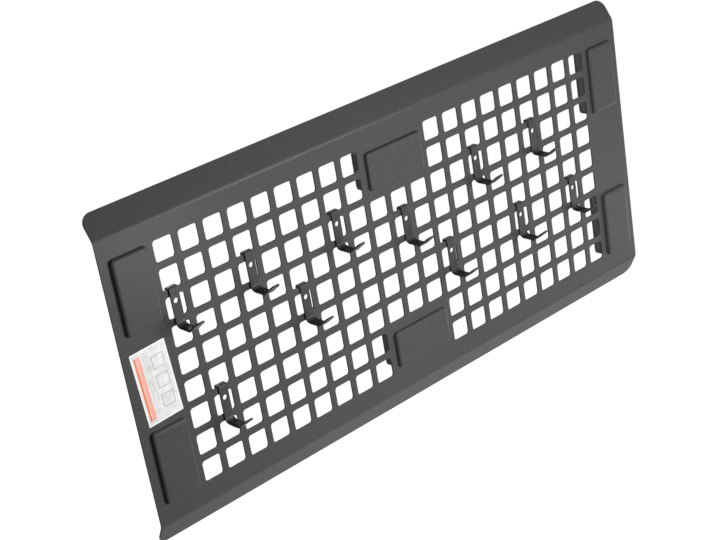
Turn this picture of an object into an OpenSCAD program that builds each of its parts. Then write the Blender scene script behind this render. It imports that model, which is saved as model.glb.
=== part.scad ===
// Magnetic tool holder: a perforated steel panel carried on six block magnets,
// with eleven loose hooks hung over the bars of its square grid.
// X runs to the right, Y into the wall and Z up. The wall is the plane Y = 0,
// and the panel is centred on X = 0, Z = 0.

/* [Grid] */
// Number of hole columns
grid_cols = 21; // [21:2:31]
// Number of hole rows
grid_rows = 9; // [9:2:13]
// Spacing of the holes, centre to centre
grid_pitch = 20; // [19:0.5:24]
// Width and height of one square hole
hole_w = 15; // [14.4:0.1:16.2]
// Corner radius of a hole
hole_corner_r = 2.2; // [0.5:0.1:2.3]
// Columns left out above and below the middle, where a pad takes their place
blank_cols = 3; // [3:2:5]
// Rows left out at the top and at the bottom of those columns
blank_rows = 2; // [2:1:3]

/* [Sheet] */
// Thickness of the sheet steel
sheet_t = 1.2; // [0.8:0.1:1.3]
// Web beside the grid, from the last column to the panel's end
side_margin = 40.9; // [38:0.1:60]
// Web above and below the grid, up to the bend line
row_margin = 14.5; // [10:0.1:30]
// Length of a flange, from the bend line to its edge
flange_len = 19; // [14:0.1:20]
// Angle that a flange leans back towards the wall
flange_angle = 30.5; // [15:0.5:35]
// Outer radius of the bend
bend_r = 8; // [3:0.5:12]
// Corner radius of the flanges
flange_corner_r = 8; // [2:0.5:12]

/* [Magnets] */
// Length of a magnet block
magnet_len = 50; // [40:0.5:52]
// Width of a magnet block
magnet_w = 25; // [18:0.5:27]
// Thickness of a magnet block
magnet_t = 10; // [9:0.5:14]
// Corner radius of a magnet block
magnet_corner_r = 1; // [0.8:0.1:2]
// Thickness of the adhesive tape in front of a magnet
tape_t = 1.5; // [0.8:0.1:1.8]
// Border of the pocket's floor that the tape leaves free
tape_border = 0.3; // [0.3:0.1:2]
// Wall of the rubber cover round a magnet
cover_wall = 2.8; // [1:0.1:3.5]
// Thickness of the cover over the magnet's holding face
cover_face = 2.5; // [1.5:0.1:4]
// Gap between a magnet's sides and its cover
cover_clearance = 0.2; // [0.1:0.05:0.4]

/* [Pressed pads] */
// Height that a pad stands out of the web
pad_rise = 3.2; // [3.1:0.1:4]
// Gap between a magnet's sides and the walls of its pocket
pocket_clearance = 0.4; // [0.1:0.05:0.6]
// Radius between a pocket's walls and its floor
pocket_edge_r = 1; // [0.3:0.1:1.1]
// Hollow radius at a pad's foot
pad_foot_r = 0.8; // [0.4:0.1:0.9]
// Distance from the panel's end to a corner pad's middle
corner_pad_inset = 21.4; // [18:0.1:22]
// Distance from the bend line to a corner pad's middle
corner_pad_drop = 41; // [36:0.5:42]
// Distance from the bend line to a middle pad's middle
middle_pad_drop = 32.5; // [24:0.5:36]

/* [Hooks] */
// Width of the hook strip
hook_w = 7.2; // [6.2:0.1:8]
// Thickness of the hook strip
hook_t = 1.3; // [1:0.1:1.8]
// Gap between the strip and the panel's front
hook_gap = 0.1; // [0.05:0.05:0.3]
// Play between the lip and the panel's back
hook_play = 1.6; // [0.1:0.1:2.5]
// Outer radius of the two bends over the bar
hook_top_r = 1.6; // [0.6:0.1:1.8]
// Height of the lip behind the bar, up to the hook's top
hook_lip = 5; // [3:0.1:7]
// Height from the hook's top to the start of the bend at its foot
hook_plate_h = 23.8; // [16:0.1:40]
// Diameter of the round hole in the hook
hook_hole_d = 3.6; // [2:0.1:4.5]
// Distance from the hook's top to the middle of its round hole
hook_hole_drop = 9.7; // [8:0.1:12]
// Inner radius of the bend at the hook's foot
hook_foot_r = 3; // [1.5:0.1:4]
// Angle that the arm slopes down
arm_drop = 0.5; // [0:0.5:10]
// Length of the straight part of the arm
arm_len = 9.4; // [8:0.1:25]
// Inner radius of the bend between arm and tip
tip_bend_r = 1.2; // [0.8:0.1:3]
// Angle that the tip rises
tip_angle = 36; // [25:1:60]
// Length of the straight part of the tip
tip_len = 12.6; // [6:0.1:18]
// Corner radius of the rounded end of the tip
tip_end_r = 3; // [1:0.1:3]

/* [Label] */
// Width of the label
label_w = 27.8; // [15:0.1:29]
// Height of the label
label_h = 53; // [30:0.5:56]
// Thickness of the label
label_t = 0.2; // [0.1:0.05:0.4]
// Angle that the label was stuck on askew
label_turn = 3; // [0:0.1:4]
// Distance of the label's middle from the line through the left pads' middles
label_shift = -0.4; // [-2:0.1:3]
// Height of the label's middle
label_z = -3.5; // [-5:0.1:5]

/* [Hidden] */
$fn = 48;

// Each hook hangs in front of one hole: column, row, and where it sits sideways.
// Columns count from the left and rows from the top, both from 0.
HOOKS = [
    [0, 2, -0.3], [3, 2, 2.1], [7, 2, -0.8], [14, 2, -1.2], [17, 2, 2.3], [10, 3, 2.6],
    [5, 4, 1.5], [12, 5, 1.6], [16, 5, -1.7], [19, 5, -0.4], [1, 6, 0.3]
];

// Overall length, the bend line's height, and the bar between two holes
panel_w = (grid_cols - 1) * grid_pitch + hole_w + 2 * side_margin;
bend_z = ((grid_rows - 1) * grid_pitch + hole_w) / 2 + row_margin;
bar_w = grid_pitch - hole_w;

// The six pads: name of the place, middle's X and Z, and whether the pad stands on end
pad_x = panel_w / 2 - corner_pad_inset;
pad_z = bend_z - corner_pad_drop;
middle_z = bend_z - middle_pad_drop;
PADS = [
    ["top_left", -pad_x, pad_z, true],
    ["top_middle", 0, middle_z, false],
    ["top_right", pad_x, pad_z, true],
    ["bottom_left", -pad_x, -pad_z, true],
    ["bottom_middle", 0, -middle_z, false],
    ["bottom_right", pad_x, -pad_z, true]
];

function hook_name(i) = str("hook_", i < 9 ? "0" : "", i + 1);
function pad_names(piece) = [for (pad = PADS) str(piece, "_", pad[0])];

// Planes across the wall's direction, from the wall to the panel's front
cover_y = -cover_face;
magnet_y = cover_y - magnet_t;
tape_y = magnet_y - tape_t;
front_y = tape_y + pad_rise - sheet_t;
back_y = front_y + sheet_t;

// A pad's outline is its magnet's, with the clearance and the sheet around it
pad_grow = pocket_clearance + sheet_t;
pad_len = magnet_len + 2 * pad_grow;
pad_w = magnet_w + 2 * pad_grow;
pad_corner_r = magnet_corner_r + pad_grow;
pad_edge_r = pocket_edge_r + sheet_t;

// Flange: the bend takes this much of it, and the rest is flat
bend_setback = bend_r * tan(flange_angle / 2);
flange_flat = flange_len - bend_setback;

// Hook: arc centres as [forward of the web's front, above the bar's top]
hook_front = hook_gap + hook_t;
hook_back = -sheet_t - hook_play - hook_t;
foot_centre = [hook_front + hook_foot_r, hook_t - hook_plate_h];
arm_dir = [cos(arm_drop), -sin(arm_drop)];
arm_up = [sin(arm_drop), cos(arm_drop)];
tip_dir = [cos(tip_angle), sin(tip_angle)];
tip_down = [sin(tip_angle), -cos(tip_angle)];
knee_centre = foot_centre - (hook_foot_r - tip_bend_r) * arm_up + arm_len * arm_dir;

// Overshoot of a cut past the faces that it goes through
cut = 1;

PAINT = [0.33, 0.33, 0.34];
RUBBER = [0.24, 0.24, 0.25];
FERRITE = [0.16, 0.16, 0.17];
TAPE = [0.85, 0.85, 0.82];
LABEL = [0.88, 0.88, 0.86];

// Rise of a hook that sits aside, where its strip's edge rides up the round corner of a hole
function hook_rise(shift) =
    let (over = max(0, abs(shift) + hook_w / 2 + hook_gap - hole_w / 2 + hole_corner_r))
    hole_corner_r - sqrt(pow(hole_corner_r, 2) - pow(over, 2));

// Points of an arc round centre c, from angle a to angle b
function arc(c, r, a, b, steps) =
    [for (i = [0 : steps]) let (t = a + (b - a) * i / steps) c + r * [cos(t), sin(t)]];

function reverse(points) = [for (i = [len(points) - 1 : -1 : 0]) points[i]];

// Rectangle with round corners, centred
module rounded(w, h, r) {
    square([w, h - 2 * r], center = true);
    square([w - 2 * r, h], center = true);
    for (x = [-1, 1], y = [-1, 1])
        translate([x * (w / 2 - r), y * (h / 2 - r)])
            circle(r);
}

// Block with round corners whose front lies at y, reaching back by depth
module block(w, h, r, y, depth) {
    translate([0, y + depth, 0])
        rotate([90, 0, 0])
            linear_extrude(depth)
                rounded(w, h, r);
}

// What is cut from a square end to round its corners, at x = +-w / 2 and y = -len
module end_corners(w, len, r, t) {
    for (side = [0, 1])
        mirror([side, 0, 0])
            difference() {
                translate([w / 2 - r, -len - cut, -cut])
                    cube([r + cut, r + cut, t + 2 * cut]);
                translate([w / 2 - r, r - len, -2 * cut])
                    cylinder(r = r, h = t + 4 * cut);
            }
}

// One face of the bent sheet above the middle, as [y, z], ending at the flange's edge
function upper_line(r) =
    let (
        centre = [front_y + bend_r, bend_z - bend_setback],
        bend = arc(centre, r, 180, 180 - flange_angle, 8)
    )
    concat(bend, [bend[8] + flange_flat * [sin(flange_angle), cos(flange_angle)]]);

// The same face from the bottom edge to the top edge
function sheet_line(r) =
    concat([for (p = reverse(upper_line(r))) [p[0], -p[1]]], upper_line(r));

module bent_sheet() {
    rotate([90, 0, 90])
        linear_extrude(panel_w, center = true)
            polygon(concat(sheet_line(bend_r), reverse(sheet_line(bend_r - sheet_t))));
}

module flange_corners() {
    for (end = [0, 1])
        mirror([0, 0, end])
            translate([0, front_y, bend_z])
                rotate([-90 - flange_angle, 0, 0])
                    end_corners(panel_w, flange_len, flange_corner_r, sheet_t);
}

// Section of a pad, as [out from its corner's centre, height above the web].
// inset is 0 for the front, and the sheet's thickness for the pocket behind it.
function pad_section(inset, low) =
    concat(
        [[0, low], [pad_corner_r + pad_foot_r, low]],
        arc([pad_corner_r + pad_foot_r, pad_foot_r], pad_foot_r + inset, 270, 180, 5),
        arc([pad_corner_r - pad_edge_r, pad_rise - pad_edge_r], pad_edge_r - inset, 0, 90, 5),
        [[0, pad_rise - inset]]
    );

// A pad or its pocket, lying flat with its height along Z
module pad_form(inset, low) {
    x = pad_len / 2 - pad_corner_r;
    y = pad_w / 2 - pad_corner_r;
    translate([-x, -y, low])
        cube([2 * x, 2 * y, pad_rise - inset - low]);
    for (side = [0, 180])
        rotate(side) {
            translate([x, y, 0])
                rotate([90, 0, 0])
                    linear_extrude(2 * y)
                        polygon(pad_section(inset, low));
            translate([x, y, 0])
                rotate([90, 0, 90])
                    mirror([0, 0, 1])
                        linear_extrude(2 * x)
                            polygon(pad_section(inset, low));
        }
    for (corner = [[x, y, 0], [-x, y, 90], [-x, -y, 180], [x, -y, 270]])
        translate([corner[0], corner[1], 0])
            rotate(corner[2])
                rotate_extrude(angle = 90)
                    polygon(pad_section(inset, low));
}

// Puts a piece drawn for a lying pad in the middle at one of the six places
module at_pad(pad) {
    translate([pad[1], 0, pad[2]])
        rotate([0, pad[3] ? 90 : 0, 0])
            children();
}

module pads(inset, low) {
    for (pad = PADS)
        at_pad(pad)
            translate([0, front_y, 0])
                rotate([90, 0, 0])
                    pad_form(inset, low);
}

// True where the grid has no hole because a pad takes its place
function blank(col, row) =
    abs(col - (grid_cols - 1) / 2) <= (blank_cols - 1) / 2
    && min(row, grid_rows - 1 - row) < blank_rows;

function hole_x(col) = (col - (grid_cols - 1) / 2) * grid_pitch;
function hole_z(row) = ((grid_rows - 1) / 2 - row) * grid_pitch;

module grid_holes() {
    for (col = [0 : grid_cols - 1], row = [0 : grid_rows - 1])
        if (!blank(col, row))
            translate([hole_x(col), 0, hole_z(row)])
                block(hole_w, hole_w, hole_corner_r, front_y - cut, sheet_t + 2 * cut);
}

module panel() {
    color(PAINT)
        difference() {
            union() {
                bent_sheet();
                pads(0, -sheet_t / 2);
            }
            pads(sheet_t, -sheet_t - cut);
            grid_holes();
            flange_corners();
        }
}

// Foam tape on the floor of the pocket
module tape() {
    border = 2 * (pad_edge_r + tape_border);
    color(TAPE)
        translate([0, tape_y + tape_t / 2, 0])
            cube([pad_len - border, tape_t, pad_w - border], center = true);
}

module magnet() {
    color(FERRITE)
        block(magnet_len, magnet_w, magnet_corner_r, magnet_y, magnet_t);
}

// Rubber cap over the magnet, from the web's back to the wall
module cover() {
    w = magnet_len + 2 * cover_clearance;
    h = magnet_w + 2 * cover_clearance;
    r = magnet_corner_r + cover_clearance;
    color(RUBBER)
        difference() {
            block(w + 2 * cover_wall, h + 2 * cover_wall, r + cover_wall, back_y, -back_y);
            block(w, h, r, back_y - cut, cover_y - back_y + cut);
        }
}

module label() {
    color(LABEL)
        translate([label_shift - pad_x, front_y - label_t / 2, label_z])
            rotate([0, -label_turn, 0])
                cube([label_w, label_t, label_h], center = true);
}

// The strip's outer face: lip's back, top, plate's front, arm's top and tip's top
function hook_outer() =
    let (r = hook_top_r, tip = knee_centre + tip_bend_r * tip_down)
    concat(
        [[hook_back, hook_t - hook_lip]],
        arc([hook_back + r, hook_t - r], r, 180, 90, 4),
        arc([hook_front - r, hook_t - r], r, 90, 0, 4),
        arc(foot_centre, hook_foot_r, 180, 270 - arm_drop, 8),
        arc(knee_centre, tip_bend_r, 270 - arm_drop, 270 + tip_angle, 4),
        [tip + tip_len * tip_dir]
    );

// The strip's inner face, which lies over the bar and runs on under the arm and tip
function hook_inner() =
    let (tip = knee_centre + (tip_bend_r + hook_t) * tip_down)
    concat(
        [[hook_back + hook_t, hook_t - hook_lip], [hook_back + hook_t, 0], [hook_gap, 0]],
        arc(foot_centre, hook_foot_r + hook_t, 180, 270 - arm_drop, 8),
        arc(knee_centre, tip_bend_r + hook_t, 270 - arm_drop, 270 + tip_angle, 4),
        [tip + tip_len * tip_dir]
    );

// A hook with the bar's top front edge at the origin
module hook_strip() {
    tip = knee_centre + (tip_bend_r + hook_t) * tip_down;
    difference() {
        rotate([90, 0, -90])
            linear_extrude(hook_w, center = true)
                polygon(concat(hook_outer(), reverse(hook_inner())));
        translate([0, cut, hook_t - hook_hole_drop])
            rotate([90, 0, 0])
                cylinder(d = hook_hole_d, h = hook_front + 2 * cut);
        translate([0, -tip[0], tip[1]])
            rotate([-tip_angle, 0, 0])
                end_corners(hook_w, tip_len, tip_end_r, hook_t);
    }
}

module hook(i) {
    color(PAINT)
        translate([hole_x(HOOKS[i][0]) + HOOKS[i][2], front_y, hole_z(HOOKS[i][1])])
            translate([0, 0, hole_w / 2 + bar_w + hook_rise(HOOKS[i][2])])
                hook_strip();
}

panel();
for (pad = PADS) {
    at_pad(pad) tape();
    at_pad(pad) magnet();
    at_pad(pad) cover();
}
label();
for (i = [0 : len(HOOKS) - 1])
    hook(i);
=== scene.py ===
import math

import bpy
from mathutils import Matrix, Vector


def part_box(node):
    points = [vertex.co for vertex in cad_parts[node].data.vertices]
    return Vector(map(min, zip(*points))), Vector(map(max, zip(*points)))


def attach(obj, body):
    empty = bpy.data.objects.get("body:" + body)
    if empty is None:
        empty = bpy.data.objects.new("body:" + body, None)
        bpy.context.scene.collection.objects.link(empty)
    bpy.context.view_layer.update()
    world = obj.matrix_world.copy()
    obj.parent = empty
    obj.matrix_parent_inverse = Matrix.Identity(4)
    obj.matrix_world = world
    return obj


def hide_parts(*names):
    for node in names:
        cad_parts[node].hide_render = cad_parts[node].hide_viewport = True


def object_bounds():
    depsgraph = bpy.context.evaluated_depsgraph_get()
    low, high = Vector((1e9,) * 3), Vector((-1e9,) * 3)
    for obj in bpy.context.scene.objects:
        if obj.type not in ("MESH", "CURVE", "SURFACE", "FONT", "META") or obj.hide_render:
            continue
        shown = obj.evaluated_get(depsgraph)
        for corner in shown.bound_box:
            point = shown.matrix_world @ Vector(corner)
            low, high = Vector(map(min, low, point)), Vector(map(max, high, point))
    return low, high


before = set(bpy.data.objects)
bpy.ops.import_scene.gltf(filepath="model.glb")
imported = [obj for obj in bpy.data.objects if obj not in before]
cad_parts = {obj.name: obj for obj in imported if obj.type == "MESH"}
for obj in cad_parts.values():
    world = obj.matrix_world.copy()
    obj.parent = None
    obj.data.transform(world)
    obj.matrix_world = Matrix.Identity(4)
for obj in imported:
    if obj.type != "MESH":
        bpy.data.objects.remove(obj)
cad_low, cad_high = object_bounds()

# Sizes in metres, in the frame of the CAD model: the wall is y = 0 and the panel faces -Y

MM = 0.001
PLACES = ("top_left", "top_middle", "top_right", "bottom_left", "bottom_middle", "bottom_right")
HOOKS = tuple(sorted(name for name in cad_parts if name.startswith("hook_")))

MERGE_DISTANCE = 0.002 * MM
FLAT_ANGLE = math.radians(0.4)
SMOOTH_ANGLE = math.radians(50)

PANEL_EDGE = 0.14 * MM
HOOK_EDGE = 0.22 * MM
COVER_EDGE = 0.5 * MM
COVER_FACE = 2.5 * MM
COVER_FACE_BLEND = 0.3 * MM

LABEL_MIDDLE = sum((Vector(corner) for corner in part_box("label")), Vector()) / 2
LABEL_SIZE = Vector((27.8 * MM, 0.2 * MM, 53 * MM))
LABEL_TURN = math.radians(-3)
LABEL_CORNER = 0.25 * MM
LABEL_EDGE = 0.05 * MM

# The label's print, in its own plane: sizes across it and along it, and places from its middle

PRINT_EDGE = 0.08 * MM
RIM = 1.1 * MM
STRIPE_LENGTH = 46 * MM
ORANGE_STRIPE_ACROSS = -11.0 * MM
ORANGE_STRIPE_WIDTH = 1.6 * MM
SALMON_STRIPE_ACROSS = -8.3 * MM
SALMON_STRIPE_WIDTH = 3.0 * MM
RULE_TOP = 24 * MM
RULE_WIDTH = 0.55 * MM
LONG_RULE = 36 * MM
SHORT_RULE = 30 * MM
RULES = ((-4.8 * MM, LONG_RULE), (-3.2 * MM, SHORT_RULE), (-1.6 * MM, LONG_RULE))
BOX_ACROSS = 5.4 * MM
BOX_PITCH = 14 * MM
BOX_SIDE = 9.5 * MM
BOX_LINE = 0.6 * MM

# Colours, as linear red, green and blue

WHITE = (1, 1, 1)
RIM_WHITE = (0.83, 0.82, 0.81)
PAPER_DARK = (0.56, 0.545, 0.53)
PAPER_LIGHT = (0.80, 0.79, 0.77)
ORANGE = (0.70, 0.18, 0.06)
SALMON = (0.78, 0.36, 0.29)
RULE_GREY = (0.30, 0.31, 0.33)
BOX_GREY = (0.16, 0.17, 0.18)
WALL_RUBBER_DARK = (0.096, 0.096, 0.098)
WALL_RUBBER_LIGHT = (0.112, 0.112, 0.114)
FACE_RUBBER = (0.034, 0.034, 0.035)
FLOOR_DARK = (0.46, 0.46, 0.46)
FLOOR_LIGHT = (0.50, 0.50, 0.50)
ROOM_COLOUR = (0.95, 0.97, 1)
COOL_LIGHT = (0.50, 0.62, 1.0)


# Selecting and shaping

def pick(piece):
    bpy.ops.object.select_all(action="DESELECT")
    piece.select_set(True)
    bpy.context.view_layer.objects.active = piece


def start_edit(piece):
    pick(piece)
    bpy.ops.object.mode_set(mode="EDIT")
    bpy.ops.mesh.select_all(action="SELECT")


def end_edit():
    bpy.ops.object.mode_set(mode="OBJECT")


def apply_modifier(piece, modifier):
    pick(piece)
    bpy.ops.object.modifier_apply(modifier=modifier.name)


def merged_copy(node, name):
    """A copy of a CAD node with its loose triangles merged and its flat faces made whole."""
    piece = bpy.data.objects.new(name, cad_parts[node].data.copy())
    bpy.context.scene.collection.objects.link(piece)
    start_edit(piece)
    bpy.ops.mesh.remove_doubles(threshold=MERGE_DISTANCE)
    bpy.ops.mesh.dissolve_limited(angle_limit=FLAT_ANGLE)
    bpy.ops.mesh.customdata_custom_splitnormals_clear()
    end_edit()
    return piece


def round_edges(piece, width, segments, sharp_degrees):
    """Rounds every edge that turns by more than the sharp angle, as a coat of paint or a mould does."""
    bevel = piece.modifiers.new("rounded edges", "BEVEL")
    bevel.width = width
    bevel.segments = segments
    bevel.limit_method = "ANGLE"
    bevel.angle_limit = math.radians(sharp_degrees)
    bevel.use_clamp_overlap = False
    apply_modifier(piece, bevel)


def smooth_shade(piece):
    """Shades rounded faces smoothly and keeps flat faces flat."""
    pick(piece)
    bpy.ops.object.shade_smooth_by_angle(angle=SMOOTH_ANGLE, keep_sharp_edges=False)
    weighted = piece.modifiers.new("flat faces stay flat", "WEIGHTED_NORMAL")
    weighted.keep_sharp = True
    apply_modifier(piece, weighted)


def paint(piece, material):
    piece.data.materials.clear()
    piece.data.materials.append(material)


# Shader helpers

class Shader:
    """A material or a node group under construction."""

    def __init__(self, tree):
        self.tree = tree
        self.tree.nodes.clear()

    def put(self, value, socket):
        """Links another node's output to a socket, or gives the socket a constant."""
        if isinstance(value, bpy.types.NodeSocket):
            self.tree.links.new(value, socket)
        else:
            socket.default_value = value

    def node(self, kind, inputs=None, **settings):
        made = self.tree.nodes.new(kind)
        for key, value in settings.items():
            setattr(made, key, value)
        for key, value in (inputs or {}).items():
            self.put(value, made.inputs[key])
        return made

    def math(self, operation, *values, clamp=False):
        made = self.node("ShaderNodeMath", dict(enumerate(values)), operation=operation, use_clamp=clamp)
        return made.outputs[0]

    def blend(self, first, second, share):
        """The first value times its share, plus the second value times the rest."""
        return self.math("ADD", self.math("MULTIPLY", first, share), self.math("MULTIPLY", second, 1 - share))

    def noise(self, vector, scale, detail=2.0, roughness=0.5):
        return self.node("ShaderNodeTexNoise", {"Vector": vector, "Scale": scale, "Detail": detail,
                                                "Roughness": roughness}).outputs["Fac"]

    def mix(self, factor, first, second):
        made = self.node("ShaderNodeMix", data_type="RGBA")
        for key, value in zip(("Factor_Float", "A_Color", "B_Color"), (factor, first, second)):
            self.put(value, next(socket for socket in made.inputs if socket.identifier == key))
        return next(socket for socket in made.outputs if socket.identifier == "Result_Color")

    def spread(self, value, low, high, to_low=0.0, to_high=1.0):
        """The value's range from low to high, stretched over another range."""
        return self.node("ShaderNodeMapRange", {"Value": value, "From Min": low, "From Max": high,
                                                "To Min": to_low, "To Max": to_high}).outputs["Result"]

    def group(self, group, inputs):
        return self.node("ShaderNodeGroup", inputs, node_tree=group).outputs

    def object_position(self):
        return self.node("ShaderNodeTexCoord").outputs["Object"]

    def seen(self):
        """1 where the camera looks at it, also in a mirror or through glass, and 0 where it lights others."""
        rays = self.node("ShaderNodeLightPath").outputs
        direct = self.math("ADD", rays["Is Camera Ray"], rays["Is Glossy Ray"], clamp=True)
        return self.math("ADD", direct, rays["Is Transmission Ray"], clamp=True)


def opaque(colour):
    return (*colour, 1)


def new_group(name, inputs, outputs):
    tree = bpy.data.node_groups.new(name, "ShaderNodeTree")
    shader = Shader(tree)
    for socket_name, kind in inputs:
        tree.interface.new_socket(name=socket_name, in_out="INPUT", socket_type="NodeSocket" + kind)
    for socket_name, kind in outputs:
        tree.interface.new_socket(name=socket_name, in_out="OUTPUT", socket_type="NodeSocket" + kind)
    entry = shader.node("NodeGroupInput").outputs
    leave = shader.node("NodeGroupOutput").inputs
    return tree, shader, entry, leave


def new_material(name):
    material = bpy.data.materials.new(name)
    material.use_nodes = True
    return material, Shader(material.node_tree)


def finish_surface(s, colour, roughness, height, depth, specular):
    """The shader itself: colour, roughness and relief come from the nodes, the rest is constant."""
    relief = s.node("ShaderNodeBump", {"Height": height, "Distance": depth, "Strength": 1.0})
    surface = s.node("ShaderNodeBsdfPrincipled", {"Base Color": colour, "Roughness": roughness,
                                                  "Normal": relief.outputs["Normal"],
                                                  "Specular IOR Level": specular})
    s.node("ShaderNodeOutputMaterial", {"Surface": surface.outputs["BSDF"]})


# Groups that more than one material uses

def make_grain_group():
    """Fine grain over a surface: mottled colour, uneven gloss, and a relief of small bumps on slow waves."""
    tree, s, entry, leave = new_group(
        "grain",
        [("Position", "Vector"), ("Dark", "Color"), ("Light", "Color"), ("Grain per metre", "Float"),
         ("Waves per metre", "Float"), ("Roughness low", "Float"), ("Roughness high", "Float")],
        [("Colour", "Color"), ("Roughness", "Float"), ("Height", "Float")])
    fine = s.noise(entry["Position"], entry["Grain per metre"], detail=3.0, roughness=0.6)
    slow = s.noise(entry["Position"], entry["Waves per metre"])
    mottle = s.spread(s.blend(fine, slow, share=0.45), low=0.32, high=0.68)
    s.put(s.mix(mottle, entry["Dark"], entry["Light"]), leave["Colour"])
    s.put(s.spread(slow, 0.3, 0.7, entry["Roughness low"], entry["Roughness high"]), leave["Roughness"])
    s.put(s.blend(fine, slow, share=0.4), leave["Height"])
    return tree


def make_field_group():
    """A printed field on a flat sheet: 1 inside a rectangle round its middle, 0 outside."""
    tree, s, entry, leave = new_group(
        "printed field",
        [("Across", "Float"), ("Along", "Float"), ("Middle across", "Float"), ("Middle along", "Float"),
         ("Half width", "Float"), ("Half height", "Float")],
        [("Mask", "Float")])

    def inside(value, middle, half):
        away = s.math("ABSOLUTE", s.math("SUBTRACT", value, middle))
        return s.spread(s.math("SUBTRACT", half, away), low=-PRINT_EDGE, high=PRINT_EDGE)

    across = inside(entry["Across"], entry["Middle across"], entry["Half width"])
    along = inside(entry["Along"], entry["Middle along"], entry["Half height"])
    s.put(s.math("MULTIPLY", across, along), leave["Mask"])
    return tree


GRAIN = make_grain_group()
FIELD = make_field_group()


# Materials

def add_grain(s, position, dark, light, grain, waves, roughness):
    """The grain group's outputs, with the grain and the waves counted per metre."""
    return s.group(GRAIN, {"Position": position, "Dark": opaque(dark), "Light": opaque(light),
                           "Grain per metre": grain, "Waves per metre": waves,
                           "Roughness low": roughness[0], "Roughness high": roughness[1]})


def grained_material(name, dark, light, grain, waves, roughness, depth, specular):
    material, s = new_material(name)
    out = add_grain(s, s.object_position(), dark, light, grain, waves, roughness)
    finish_surface(s, out["Colour"], out["Roughness"], out["Height"], depth, specular)
    return material


def make_cover_rubber():
    """Grey moulded side walls, with a darker holding face where the cover lies against the wall."""
    material, s = new_material("moulded cover rubber")
    position = s.object_position()
    depth = s.node("ShaderNodeSeparateXYZ", {"Vector": position}).outputs["Y"]
    face = s.spread(depth, low=-COVER_FACE - COVER_FACE_BLEND, high=-COVER_FACE + COVER_FACE_BLEND)
    walls = add_grain(s, position, WALL_RUBBER_DARK, WALL_RUBBER_LIGHT,
                      grain=3200.0, waves=260.0, roughness=(0.58, 0.70))
    colour = s.mix(face, walls["Colour"], opaque(FACE_RUBBER))
    finish_surface(s, colour, walls["Roughness"], walls["Height"], depth=0.03 * MM, specular=0.25)
    return material


def make_label_film():
    """White film with two plain stripes, grey rules and empty boxes, and no words or signs."""
    material, s = new_material("printed white film")
    position = s.object_position()
    flat = s.node("ShaderNodeMapping", {"Vector": position, "Location": LABEL_MIDDLE,
                                        "Rotation": (0, LABEL_TURN, 0)}, vector_type="TEXTURE")
    axes = s.node("ShaderNodeSeparateXYZ", {"Vector": flat.outputs["Vector"]}).outputs

    def field(across, along, width, height):
        return s.group(FIELD, {"Across": axes["X"], "Along": axes["Z"],
                               "Middle across": across, "Middle along": along,
                               "Half width": width / 2, "Half height": height / 2})["Mask"]

    def thinned(mask, strength):
        return s.math("MULTIPLY", mask, strength)

    paper = add_grain(s, position, PAPER_DARK, PAPER_LIGHT, grain=1500.0, waves=160.0, roughness=(0.28, 0.36))
    inner = field(0, 0, LABEL_SIZE.x - 2 * RIM, LABEL_SIZE.z - 2 * RIM)
    colour = s.mix(inner, opaque(RIM_WHITE), paper["Colour"])
    orange = field(ORANGE_STRIPE_ACROSS, 0, ORANGE_STRIPE_WIDTH, STRIPE_LENGTH)
    colour = s.mix(orange, colour, opaque(ORANGE))
    salmon = field(SALMON_STRIPE_ACROSS, 0, SALMON_STRIPE_WIDTH, STRIPE_LENGTH)
    colour = s.mix(salmon, colour, opaque(SALMON))
    for across, length in RULES:
        rule = field(across, RULE_TOP - length / 2, RULE_WIDTH, length)
        colour = s.mix(thinned(rule, 0.5), colour, opaque(RULE_GREY))
    for along in (BOX_PITCH, 0, -BOX_PITCH):
        outer = field(BOX_ACROSS, along, BOX_SIDE, BOX_SIDE)
        hollow = field(BOX_ACROSS, along, BOX_SIDE - 2 * BOX_LINE, BOX_SIDE - 2 * BOX_LINE)
        colour = s.mix(thinned(s.math("SUBTRACT", outer, hollow), 0.6), colour, opaque(BOX_GREY))
    finish_surface(s, colour, paper["Roughness"], paper["Height"], depth=0.004 * MM, specular=0.5)
    return material


POWDER_COAT = grained_material(
    "dark grey powder coat", dark=(0.058, 0.058, 0.059), light=(0.068, 0.068, 0.069),
    grain=2600.0, waves=420.0, roughness=(0.25, 0.31), depth=0.03 * MM, specular=0.055)
HOOK_COAT = grained_material(
    "dark grey hook coat", dark=(0.044, 0.044, 0.045), light=(0.054, 0.054, 0.055),
    grain=2800.0, waves=500.0, roughness=(0.27, 0.33), depth=0.02 * MM, specular=0.08)
FERRITE = grained_material(
    "sintered ferrite", dark=(0.022, 0.022, 0.023), light=(0.040, 0.039, 0.038),
    grain=5200.0, waves=600.0, roughness=(0.5, 0.7), depth=0.04 * MM, specular=0.5)
FOAM = grained_material(
    "white foam tape", dark=(0.62, 0.61, 0.57), light=(0.74, 0.73, 0.69),
    grain=4200.0, waves=900.0, roughness=(0.8, 0.9), depth=0.08 * MM, specular=0.3)
RUBBER = make_cover_rubber()
LABEL_FILM = make_label_film()


# Pieces

def dress_panel():
    panel = merged_copy("panel", "pressed_panel")
    round_edges(panel, PANEL_EDGE, segments=2, sharp_degrees=40)
    smooth_shade(panel)
    paint(panel, POWDER_COAT)
    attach(panel, "holder")
    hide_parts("panel")


def dress_hook(node):
    strip = merged_copy(node, "strip_" + node)
    round_edges(strip, HOOK_EDGE, segments=3, sharp_degrees=40)
    smooth_shade(strip)
    paint(strip, HOOK_COAT)
    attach(strip, node)
    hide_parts(node)


def dress_magnet(place):
    """One magnet with its cover and its tape, behind the pad of that place."""
    cover = merged_copy("cover_" + place, "rubber_cover_" + place)
    round_edges(cover, COVER_EDGE, segments=3, sharp_degrees=60)
    smooth_shade(cover)
    paint(cover, RUBBER)
    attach(cover, "holder")
    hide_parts("cover_" + place)
    paint(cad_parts["magnet_" + place], FERRITE)
    paint(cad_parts["tape_" + place], FOAM)


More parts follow.
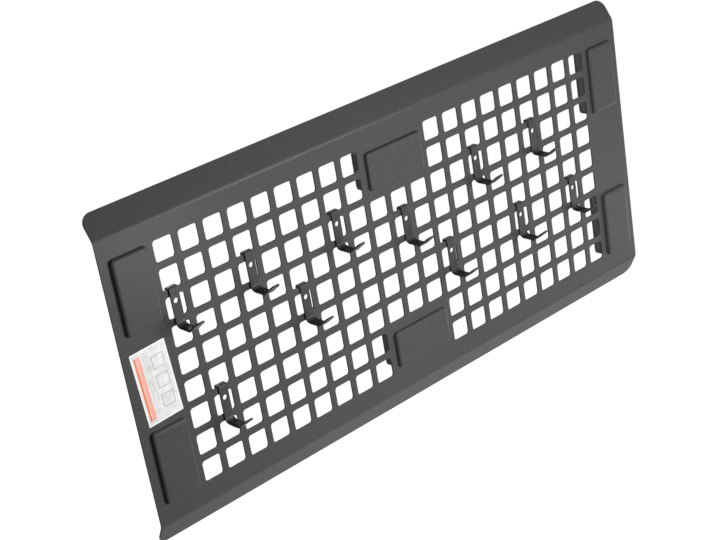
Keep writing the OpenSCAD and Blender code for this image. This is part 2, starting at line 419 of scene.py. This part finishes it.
def dress_label():
    """A film with rounded corners, lying on the web as the CAD label does."""
    bpy.ops.object.select_all(action="DESELECT")
    bpy.ops.mesh.primitive_plane_add(size=1.0, location=(0, 0, 0))
    film = bpy.context.object
    film.name = "label_film"
    start_edit(film)
    bpy.ops.transform.resize(value=(LABEL_SIZE.x, LABEL_SIZE.z, 1))
    bpy.ops.mesh.bevel(offset=LABEL_CORNER, segments=3, affect="VERTICES")
    end_edit()
    back = Matrix.Translation(LABEL_MIDDLE + Vector((0, LABEL_SIZE.y / 2, 0)))
    upright = Matrix.Rotation(math.radians(90), 4, "X")
    film.matrix_world = back @ Matrix.Rotation(LABEL_TURN, 4, "Y") @ upright
    bpy.ops.object.transform_apply(location=True, rotation=True, scale=True)
    thick = film.modifiers.new("film thickness", "SOLIDIFY")
    thick.thickness = LABEL_SIZE.y
    thick.offset = 1
    apply_modifier(film, thick)
    round_edges(film, LABEL_EDGE, segments=1, sharp_degrees=60)
    paint(film, LABEL_FILM)
    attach(film, "holder")
    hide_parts("label")


dress_panel()
for hook_name in HOOKS:
    dress_hook(hook_name)
for pad_place in PLACES:
    dress_magnet(pad_place)
dress_label()


# Camera, at the photograph's place as solved from the grid of square holes

LENS = 78.65
SENSOR_WIDTH = 36.0
CAMERA_PLACE = Vector((-0.6848, -0.8108, 0.4231))
PICTURE_RIGHT = Vector((0.7298, -0.6648, -0.1593))
PICTURE_UP = Vector((0.3677, 0.1853, 0.9113))


def make_camera():
    data = bpy.data.cameras.new("camera")
    data.lens = LENS
    data.sensor_width = SENSOR_WIDTH
    camera = bpy.data.objects.new("camera", data)
    bpy.context.scene.collection.objects.link(camera)
    right = PICTURE_RIGHT.normalized()
    up = (PICTURE_UP - PICTURE_UP.dot(right) * right).normalized()
    turn = Matrix((right, up, right.cross(up))).transposed()
    camera.matrix_world = Matrix.Translation(CAMERA_PLACE) @ turn.to_4x4()
    bpy.context.scene.camera = camera


make_camera()


# Floor, lights and world

FLOOR_SIZE = 40.0
FLOOR_DROP = 0.8
FLOOR_PATCHES = 3.0
ROOM_STRENGTH = 0.03
MIDDLE = (0, 0, 0)


def make_floor():
    """A pale floor well below the panel, which is white to the eye and still takes the shadow."""
    bpy.ops.object.select_all(action="DESELECT")
    bpy.ops.mesh.primitive_plane_add(size=FLOOR_SIZE, location=(0, 0, cad_low.z - FLOOR_DROP))
    floor = bpy.context.object
    floor.name = "floor"
    material, s = new_material("pale floor")
    patches = s.noise(s.object_position(), FLOOR_PATCHES)
    colour = s.mix(patches, opaque(FLOOR_DARK), opaque(FLOOR_LIGHT))
    lit = s.node("ShaderNodeBsdfDiffuse", {"Color": colour})
    glow = s.node("ShaderNodeEmission", {"Color": opaque(WHITE), "Strength": s.seen()})
    both = s.node("ShaderNodeAddShader", {0: lit.outputs[0], 1: glow.outputs[0]})
    s.node("ShaderNodeOutputMaterial", {"Surface": both.outputs[0]})
    paint(floor, material)


def make_light(name, place, target, size, power, colour=WHITE):
    """A rectangular lamp that looks from its place at its target, with its power in watts."""
    data = bpy.data.lights.new(name, "AREA")
    data.shape = "RECTANGLE"
    data.size, data.size_y = size
    data.energy = power
    data.color = colour
    light = bpy.data.objects.new(name, data)
    bpy.context.scene.collection.objects.link(light)
    light.location = place
    light.rotation_euler = (Vector(target) - Vector(place)).to_track_quat("-Z", "Y").to_euler()


def make_lights():
    """A main light from the right, small ones that shade the web and its bends, and one for the back."""
    make_light("right front", (0.46, -0.92, 0.14), MIDDLE, size=(0.28, 0.28), power=7.6)
    make_light("left front", (-0.10, -0.42, 0.08), (-0.08, 0, 0.03), size=(0.25, 0.20), power=0.75)
    make_light("bend glint", (0.01, -0.42, -0.05), (-0.18, 0, 0.09), size=(0.12, 0.12), power=0.75)
    make_light("right side", (0.80, -0.20, -0.30), MIDDLE, size=(0.25, 0.25), power=1.3)
    make_light("low right", (0.75, -0.45, -0.38), (0.20, 0, -0.08), size=(0.25, 0.25), power=0.45)
    make_light("top left", (-0.45, -0.20, 0.65), MIDDLE, size=(0.25, 0.25), power=0.35, colour=COOL_LIGHT)
    make_light("rear", (0.05, 0.95, 0.45), MIDDLE, size=(0.50, 0.50), power=14.0)


def make_world():
    """White where the camera sees it, and a faint light from the room everywhere else."""
    world = bpy.data.worlds.new("studio")
    bpy.context.scene.world = world
    world.use_nodes = True
    s = Shader(world.node_tree)
    white = s.node("ShaderNodeBackground", {"Color": opaque(WHITE), "Strength": 1.0})
    room = s.node("ShaderNodeBackground", {"Color": opaque(ROOM_COLOUR), "Strength": ROOM_STRENGTH})
    mixed = s.node("ShaderNodeMixShader", {"Fac": s.seen(), 1: room.outputs[0], 2: white.outputs[0]})
    s.node("ShaderNodeOutputWorld", {"Surface": mixed.outputs[0]})


make_floor()
make_lights()
make_world()
bpy.context.scene.view_settings.view_transform = "Standard"
